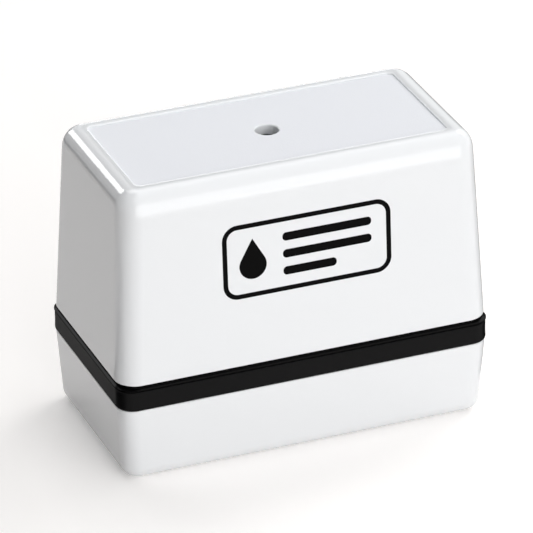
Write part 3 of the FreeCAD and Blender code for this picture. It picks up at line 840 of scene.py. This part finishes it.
class STAMP_OT_collar_frame(bpy.types.Operator):
    """Model the black frame: the band, the spigot below it, the sleeve above it, the plate and the posts"""

    bl_idname = "stamp.collar_frame"
    bl_label = "Collar Frame"

    def execute(self, context):
        sizes, colours = context.scene.stamp_sizes, context.scene.stamp_colours
        rings = self.band_rings(sizes) + self.inner_rings(sizes)
        frame_piece = moulded("collar_frame_moulding", rings, joined=True)
        top_z, post_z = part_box("collar_frame")[1].z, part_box("cartridge_carrier")[1].z
        plate_z = top_z - sizes.frame_plate
        posts, screws = screw_places(sizes, "carrier_screws"), screw_places(sizes, "handle_screws")
        added = rods(sizes.boss_radius, post_z, plate_z + REACH, posts)
        added += rods(sizes.pin_radius, plate_z - sizes.pin_height, plate_z + REACH, spring_places())
        combined(frame_piece, added, "UNION")
        cut = rods(sizes.pilot_radius, post_z - REACH, post_z + sizes.pilot_depth, posts)
        cut += rods(sizes.screw_radius, plate_z - REACH, top_z + REACH, screws)
        combined(frame_piece, cut, "DIFFERENCE")
        finish_mesh(frame_piece,
                    satin_abs("satin_abs_collar", colours.collar_black, roughness=0.34, shine=0.21),
                    satin_abs("bright_abs_lip", colours.lip_black, roughness=0.12, shine=0.07))
        face = collar_plan(sizes)
        groove_z, top_z = self.lip_span(sizes)
        for polygon in frame_piece.data.polygons:
            centre = polygon.center
            outside = abs(centre.x) > face.x - face.corner / 2 or abs(centre.y) > face.y - face.corner / 2
            if outside and groove_z < centre.z < top_z:
                polygon.material_index = 1
        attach(frame_piece, "handle")
        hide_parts("collar_frame")
        return {"FINISHED"}

    def lip_span(self, sizes):
        """Heights of the foot of the groove below the lip, and of the handle's foot."""
        top_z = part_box("handle_shell")[0].z
        return top_z - sizes.lip_neck - sizes.lip_slope - sizes.lip_land - sizes.groove_height, top_z

    def band_rings(self, sizes):
        """From the spigot's foot up the outside of the band to the handle's foot."""
        low_z, foot_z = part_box("collar_frame")[0].z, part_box("dust_cap")[1].z
        face = collar_plan(sizes)
        inwards = -sizes.cap_wall - sizes.cap_fit
        rings = [grown(cap_ring(sizes, low_z), inwards - sizes.spigot_round, low_z)]
        add_round(rings, sizes.spigot_round, sizes.spigot_round)
        rings += [grown(cap_ring(sizes, foot_z), inwards, foot_z),
                  grown(face, sizes.bead_stand - sizes.collar_foot_round, foot_z)]
        add_round(rings, sizes.collar_foot_round, sizes.collar_foot_round)
        bead_z = foot_z + sizes.bead_height
        groove_z, top_z = self.lip_span(sizes)
        lip_z = groove_z + sizes.groove_height
        neck = grown(handle_ring(sizes, top_z), -sizes.handle_foot_round / 2, top_z - sizes.lip_neck)
        return rings + [
            grown(face, sizes.bead_stand, bead_z),
            face._replace(z=bead_z + sizes.bead_rise),
            face._replace(z=groove_z - sizes.groove_edge),
            grown(face, -sizes.groove_edge, groove_z),
            grown(face, -sizes.groove_depth, groove_z),
            grown(face, -sizes.groove_depth, lip_z),
            grown(face, sizes.lip_stand, lip_z),
            grown(face, sizes.lip_stand, lip_z + sizes.lip_land),
            neck,
            neck._replace(z=top_z),
        ]

    def inner_rings(self, sizes):
        """From the handle's foot up the sleeve, over the plate and down the skirt's pocket."""
        low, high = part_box("collar_frame")
        top_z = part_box("handle_shell")[0].z
        plate_z = high.z - sizes.frame_plate
        pocket_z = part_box("skirt")[1].z - sizes.pin_height + joint_limit("skirt_slide") + sizes.pocket_spare
        pocket = grown(skirt_ring(sizes), sizes.slide_gap, pocket_z)
        step = -sizes.shell_wall - sizes.seat_gap
        tube_hole = sizes.tube_radius + sizes.hole_gap
        return [
            grown(handle_ring(sizes, top_z), step, top_z),
            grown(handle_ring(sizes, high.z), step, high.z),
            circle(tube_hole, high.z),
            circle(tube_hole, plate_z),
            grown(pocket, -sizes.pocket_step, plate_z),
            grown(pocket, -sizes.pocket_step, pocket_z),
            pocket,
            pocket._replace(z=low.z),
        ]


class STAMP_OT_skirt(bpy.types.Operator):
    """Model the black skirt that slides round the die, with its roof, windows and spring pins"""

    bl_idname = "stamp.skirt"
    bl_label = "Skirt"

    def execute(self, context):
        sizes, colours = context.scene.stamp_sizes, context.scene.stamp_colours
        low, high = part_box("skirt")
        roof_z = high.z - sizes.pin_height
        outside, edge = skirt_ring(sizes), sizes.skirt_round
        rings = [grown(outside, -edge, roof_z)]
        add_round(rings, edge, -edge)
        rings.append(outside._replace(z=low.z + edge))
        add_round(rings, -edge, -edge, wall_first=True)
        rings.append(grown(outside, edge - sizes.skirt_wall, low.z))
        add_round(rings, -edge, edge)
        rings.append(grown(outside, -sizes.skirt_wall, roof_z - sizes.skirt_roof))
        skirt = moulded("skirt_moulding", rings)
        combined(skirt, rods(sizes.pin_radius, roof_z - REACH, high.z, spring_places()), "UNION")
        cut_low, cut_high = roof_z - sizes.skirt_roof - REACH, roof_z + REACH
        posts = screw_places(sizes, "carrier_screws")
        windows = rods(sizes.boss_radius + sizes.window_gap, cut_low, cut_high, posts)
        windows += rods(sizes.spout_radius + sizes.hole_gap, cut_low, cut_high)
        combined(skirt, windows, "DIFFERENCE")
        finish_mesh(skirt, satin_abs("satin_abs_skirt", colours.collar_black, roughness=0.42, shine=0.5))
        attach(skirt, "skirt")
        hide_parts("skirt")
        return {"FINISHED"}


class STAMP_OT_foams(bpy.types.Operator):
    """Model the inked foams: the die with its relief, the reservoir and the wick felt"""

    bl_idname = "stamp.foams"
    bl_label = "Die, Foam and Felt"

    def execute(self, context):
        sizes, colours = context.scene.stamp_sizes, context.scene.stamp_colours
        die = self.die(sizes)
        pores = microporous_foam("microporous_die_foam", colours.die_grey)
        self.place(die, "stamp_die", "die_foam", pores)
        foam = self.block(sizes, "reservoir_foam", "reservoir_foam_block")
        cells = open_cell_foam("open_cell_ink_foam", colours.ink_black)
        self.place(foam, "reservoir_foam", "reservoir_foam", cells)
        felt = self.block(sizes, "wick_felt", "wick_felt_sheet")
        fibres = pressed_felt("pressed_ink_felt", colours.ink_black)
        self.place(felt, "wick_felt", "wick_felt", fibres)
        return {"FINISHED"}

    def block(self, sizes, node, name):
        """A soft block in its solid's place, with rounded edges."""
        low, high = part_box(node)
        edge = sizes.soft_round
        rings = [Ring(high.x - edge, high.y - edge, sizes.soft_corner - edge, low.z)]
        add_round(rings, edge, edge)
        rings.append(rings[-1]._replace(z=high.z - edge))
        add_round(rings, -edge, edge, wall_first=True)
        return moulded(name, rings)

    def die(self, sizes):
        """The clamped rim, the raised face and the mark in relief, mirrored so that it prints right."""
        low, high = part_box("stamp_die")
        rim_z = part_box("cartridge_carrier")[0].z
        rim = Ring(high.x, high.y, sizes.die_corner, high.z)
        face = Ring(high.x - sizes.die_window, high.y - sizes.die_window, sizes.die_corner, rim_z)
        ground_z = low.z + sizes.relief
        die = moulded("stamp_die_foam", [rim, rim._replace(z=rim_z), face, face._replace(z=ground_z)])
        relief = add_mark("die_relief", sizes, DIE_MARK_SCALE, sizes.relief + REACH)
        only(relief)
        bpy.ops.transform.resize(value=(1, 1, -1))
        bpy.ops.transform.translate(value=(0, 0, ground_z + REACH))
        bpy.ops.object.transform_apply()
        face_outwards(relief)
        return combined(die, [relief], "UNION")

    def place(self, piece, node, slot, material):
        """Finish a soft piece and put it in its solid's place."""
        finish_mesh(piece, material)
        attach(piece, "handle")
        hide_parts(node)


class STAMP_OT_springs(bpy.types.Operator):
    """Wind the four compression springs, each with a closed turn at both ends"""

    bl_idname = "stamp.springs"
    bl_label = "Springs"

    def execute(self, context):
        sizes, colours = context.scene.stamp_sizes, context.scene.stamp_colours
        places = spring_places()
        low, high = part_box(SPRINGS[0])
        first = self.wind(sizes, low, high)
        first.data.materials.append(drawn_steel("drawn_spring_steel", colours.spring_steel))
        for name, (x, y) in zip(SPRINGS, places):
            spring = first
            if name != SPRINGS[0]:
                only(first)
                bpy.ops.object.duplicate()
                spring = bpy.context.object
                bpy.ops.transform.translate(value=(x - places[0][0], y - places[0][1], 0))
                bpy.ops.object.transform_apply()
            spring.name = spring.data.name = name + "_coil"
            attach(spring, "handle")
            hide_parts(name)
        for name in SPRINGS:
            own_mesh(bpy.data.objects[name + "_coil"])
        return {"FINISHED"}

    def wind(self, sizes, low, high):
        """One coil: a closed turn, the open turns and a closed turn, each wound by one section of wire."""
        wire = sizes.wire
        closed = wire * CLOSED_PITCH
        open_pitch = (high.z - low.z - wire - 2 * closed) / OPEN_TURNS
        start_z = low.z + wire / 2
        coils = []
        for count, pitch in ((1, closed), (OPEN_TURNS, open_pitch), (1, closed)):
            bpy.ops.mesh.primitive_circle_add(vertices=WIRE_SIDES, radius=wire / 2,
                                              location=((high.x - low.x - wire) / 2, 0, 0),
                                              rotation=(math.pi / 2, 0, 0))
            bpy.ops.object.transform_apply()
            coil = bpy.context.object
            screw = coil.modifiers.new("coil", "SCREW")
            screw.angle = 2 * math.pi * count
            screw.screw_offset = pitch * count
            screw.steps = screw.render_steps = TURN_STEPS * count
            screw.use_merge_vertices = False
            bpy.ops.object.modifier_apply(modifier=screw.name)
            bpy.ops.transform.translate(value=((low.x + high.x) / 2, (low.y + high.y) / 2, start_z))
            bpy.ops.object.transform_apply()
            start_z += pitch * count
            coils.append(coil)
        spring = one_of(coils)
        bpy.ops.object.mode_set(mode="EDIT")
        bpy.ops.mesh.select_all(action="SELECT")
        bpy.ops.mesh.remove_doubles(threshold=wire * MERGE_SHARE)
        select_open_edges()
        bpy.ops.mesh.fill()
        bpy.ops.object.mode_set(mode="OBJECT")
        face_outwards(spring)
        bpy.ops.object.shade_smooth_by_angle(angle=SHARP_ANGLE)
        return spring


class STAMP_OT_mark(bpy.types.Operator):
    """Print a plain mark on the handle's front: an outline, a drop of ink and three ruled bars"""

    bl_idname = "stamp.mark"
    bl_label = "Printed Mark"

    def execute(self, context):
        sizes, colours = context.scene.stamp_sizes, context.scene.stamp_colours
        mark = add_mark("front_mark", sizes, 1, sizes.mark_film)
        front = handle_ring(sizes, sizes.mark_up)
        low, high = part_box("handle_shell")
        lean = math.atan2(sizes.handle_draft, high.z - low.z)
        only(mark)
        mark.rotation_euler = (math.pi / 2 - lean, 0, 0)
        mark.location = (sizes.mark_right, -front.y, sizes.mark_up)
        bpy.ops.object.transform_apply()
        bpy.ops.object.shade_flat()
        mark.data.materials.append(screen_ink("screen_printed_ink", colours.mark_ink))
        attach(mark, "handle")
        return {"FINISHED"}


class STAMP_OT_inner_parts(bpy.types.Operator):
    """Finish the parts that keep the shape of their solids"""

    bl_idname = "stamp.inner_parts"
    bl_label = "Inner Parts"

    def execute(self, context):
        colours = context.scene.stamp_colours
        finishes = (
            (satin_abs("satin_abs_carrier", colours.collar_black, roughness=0.45, shine=0.5),
             ("cartridge_carrier", "die_frame")),
            (natural_polypropylene("natural_polypropylene", colours.natural_plastic),
             ("ink_tank", "support_grid")),
            (drawn_polyethylene("drawn_polyethylene_tube", colours.tube_black), ("filler_tube",)),
            (nitrile_rubber("nitrile_rubber_seal", colours.rubber_black), ("tube_seal",)),
            (zinc_plated_steel("zinc_plated_steel", colours.zinc),
             ("handle_screws", "carrier_screws", "carrier_washers")),
        )
        for material, nodes in finishes:
            for node in nodes:
                piece = frame["nodes"][node]
                piece.data.materials.clear()
                piece.data.materials.append(material)
        return {"FINISHED"}


class STAMP_OT_stage(bpy.types.Operator):
    """Set up the floor, the lights and the camera"""

    bl_idname = "stamp.stage"
    bl_label = "Stage"

    def execute(self, context):
        self.add_floor(context.scene.stamp_colours)
        self.add_cards()
        self.add_world(context.scene)
        for softbox in SOFTBOXES:
            self.add_softbox(softbox)
        for light in (STRIP_LIGHT, LINE_LIGHT):
            self.add_softbox(light).visible_diffuse = False
        self.add_camera(context.scene)
        return {"FINISHED"}

    def add_floor(self, colours):
        """Matt white paper that keeps the stamp's shadow and fades into the white background."""
        bpy.ops.mesh.primitive_plane_add(size=FLOOR_SIZE)
        floor = name_piece("floor")
        material, tree, shader, place = new_material("matt_paper_floor")
        away = add_node(tree, "ShaderNodeVectorMath", {0: place}, operation="LENGTH")
        near, far = GLOW_RISES
        rising = add_node(tree, "ShaderNodeMapRange", {"Value": away.outputs["Value"], "From Min": near,
                                                       "From Max": far, "To Min": FLOOR_GLOW, "To Max": 1.0},
                          interpolation_type="SMOOTHSTEP")
        glow = calculated(tree, "MULTIPLY", seen_rays(tree), rising.outputs["Result"])
        plug(tree, shader, {"Base Color": colours.floor_white, "Roughness": 0.9, "Specular IOR Level": 0.2,
                            "Emission Color": (1, 1, 1, 1), "Emission Strength": glow})
        floor.data.materials.append(material)

    def add_cards(self):
        """Matt black cards: some laid on the floor edge to edge, and one stood up."""
        material, tree, shader, _ = new_material("black_card")
        plug(tree, shader, {"Base Color": linear(CARD_BLACK), "Roughness": 1.0, "Specular IOR Level": 0.0})
        for left, right, front, back in CARDS:
            card = self.add_card(material, right - left, back - front)
            card.location = ((left + right) / 2, (front + back) / 2, CARD_RISE)
        face_stamp(self.add_card(material, BACK_CARD.width, BACK_CARD.height), BACK_CARD)

    def add_card(self, material, width, height):
        """One card about the origin."""
        flat_shape(width / 2, height / 2)
        bpy.ops.object.mode_set(mode="OBJECT")
        card = name_piece("black_card")
        card.data.materials.append(material)
        card.visible_camera = card.visible_diffuse = card.visible_shadow = False
        return card

    def add_world(self, scene):
        """White to the eye and in reflections, and dark to the rest, so that the lamps alone give light."""
        world = bpy.data.worlds.new("studio")
        scene.world = world
        world.use_nodes = True
        tree = world.node_tree
        tree.nodes.clear()
        white = add_node(tree, "ShaderNodeBackground", {"Color": (1, 1, 1, 1), "Strength": seen_rays(tree)})
        add_node(tree, "ShaderNodeOutputWorld", {"Surface": white.outputs["Background"]})

    def add_softbox(self, softbox):
        """A soft rectangular light that faces the stamp."""
        bpy.ops.object.light_add(type="AREA")
        light = bpy.context.object
        light.name = softbox.name
        light.data.shape = "RECTANGLE"
        light.data.size, light.data.size_y = softbox.width, softbox.height
        light.data.energy = softbox.power
        face_stamp(light, softbox)
        return light

    def add_camera(self, scene):
        """The photograph's view of the stamp."""
        bpy.ops.object.camera_add()
        camera = bpy.context.object
        camera.name = "photo_camera"
        face_stamp(camera, CAMERA_VIEW, CAMERA_TARGET)
        camera.data.sensor_width = SENSOR_WIDTH
        camera.data.lens = CAMERA_FOCAL_PIXELS / PHOTO_PIXELS * SENSOR_WIDTH
        camera.data.clip_start, camera.data.clip_end = CAMERA_CLIP
        scene.camera = camera


def seen_rays(tree):
    """1 for the rays that the eye sees, straight, in a reflection or through glass, and 0 for the rest."""
    rays = add_node(tree, "ShaderNodeLightPath", {}).outputs
    bent = calculated(tree, "MAXIMUM", rays["Is Glossy Ray"], rays["Is Transmission Ray"])
    return calculated(tree, "MAXIMUM", rays["Is Camera Ray"], bent)


def face_stamp(thing, place, middle=STAMP_MIDDLE):
    """Put a lamp, a card or the camera in its place, facing the stamp. Azimuth turns from the stamp's
    front to its right end, and elevation rises from level."""
    around, rise = math.radians(place.azimuth), math.radians(place.elevation)
    level = math.cos(rise)
    outwards = Vector((math.sin(around) * level, -math.cos(around) * level, math.sin(rise)))
    thing.location = middle + outwards * place.distance
    thing.rotation_mode = "QUATERNION"
    roll = Quaternion((0, 0, 1), math.radians(place.roll))
    thing.rotation_quaternion = (-outwards).to_track_quat("-Z", "Y") @ roll


class STAMP_PT_panel(bpy.types.Panel):
    """Buttons for each piece, with the sizes and colours that they use"""

    bl_idname = "STAMP_PT_panel"
    bl_label = "Pre-inked Stamp"
    bl_space_type = "VIEW_3D"
    bl_region_type = "UI"
    bl_category = "Stamp"

    def draw(self, context):
        for operator in OPERATORS:
            self.layout.operator(operator.bl_idname)
        for group in (context.scene.stamp_sizes, context.scene.stamp_colours):
            column = self.layout.column(align=True)
            for name in group.__annotations__:
                column.prop(group, name)


OPERATORS = (
    STAMP_OT_stage,
    STAMP_OT_handle_shell,
    STAMP_OT_mark,
    STAMP_OT_collar_frame,
    STAMP_OT_dust_cap,
    STAMP_OT_skirt,
    STAMP_OT_springs,
    STAMP_OT_foams,
    STAMP_OT_inner_parts,
)
CLASSES = (STAMP_PG_sizes, STAMP_PG_colours, *OPERATORS, STAMP_PT_panel)


def register():
    for cls in CLASSES:
        bpy.utils.register_class(cls)
    bpy.types.Scene.stamp_sizes = PointerProperty(type=STAMP_PG_sizes)
    bpy.types.Scene.stamp_colours = PointerProperty(type=STAMP_PG_colours)


def unregister():
    del bpy.types.Scene.stamp_colours
    del bpy.types.Scene.stamp_sizes
    for cls in reversed(CLASSES):
        bpy.utils.unregister_class(cls)


def main():
    register()
    bpy.context.scene.view_settings.view_transform = "Standard"
    for operator in OPERATORS:
        group, name = operator.bl_idname.split(".")
        getattr(getattr(bpy.ops, group), name)()


if __name__ == "__main__":
    main()
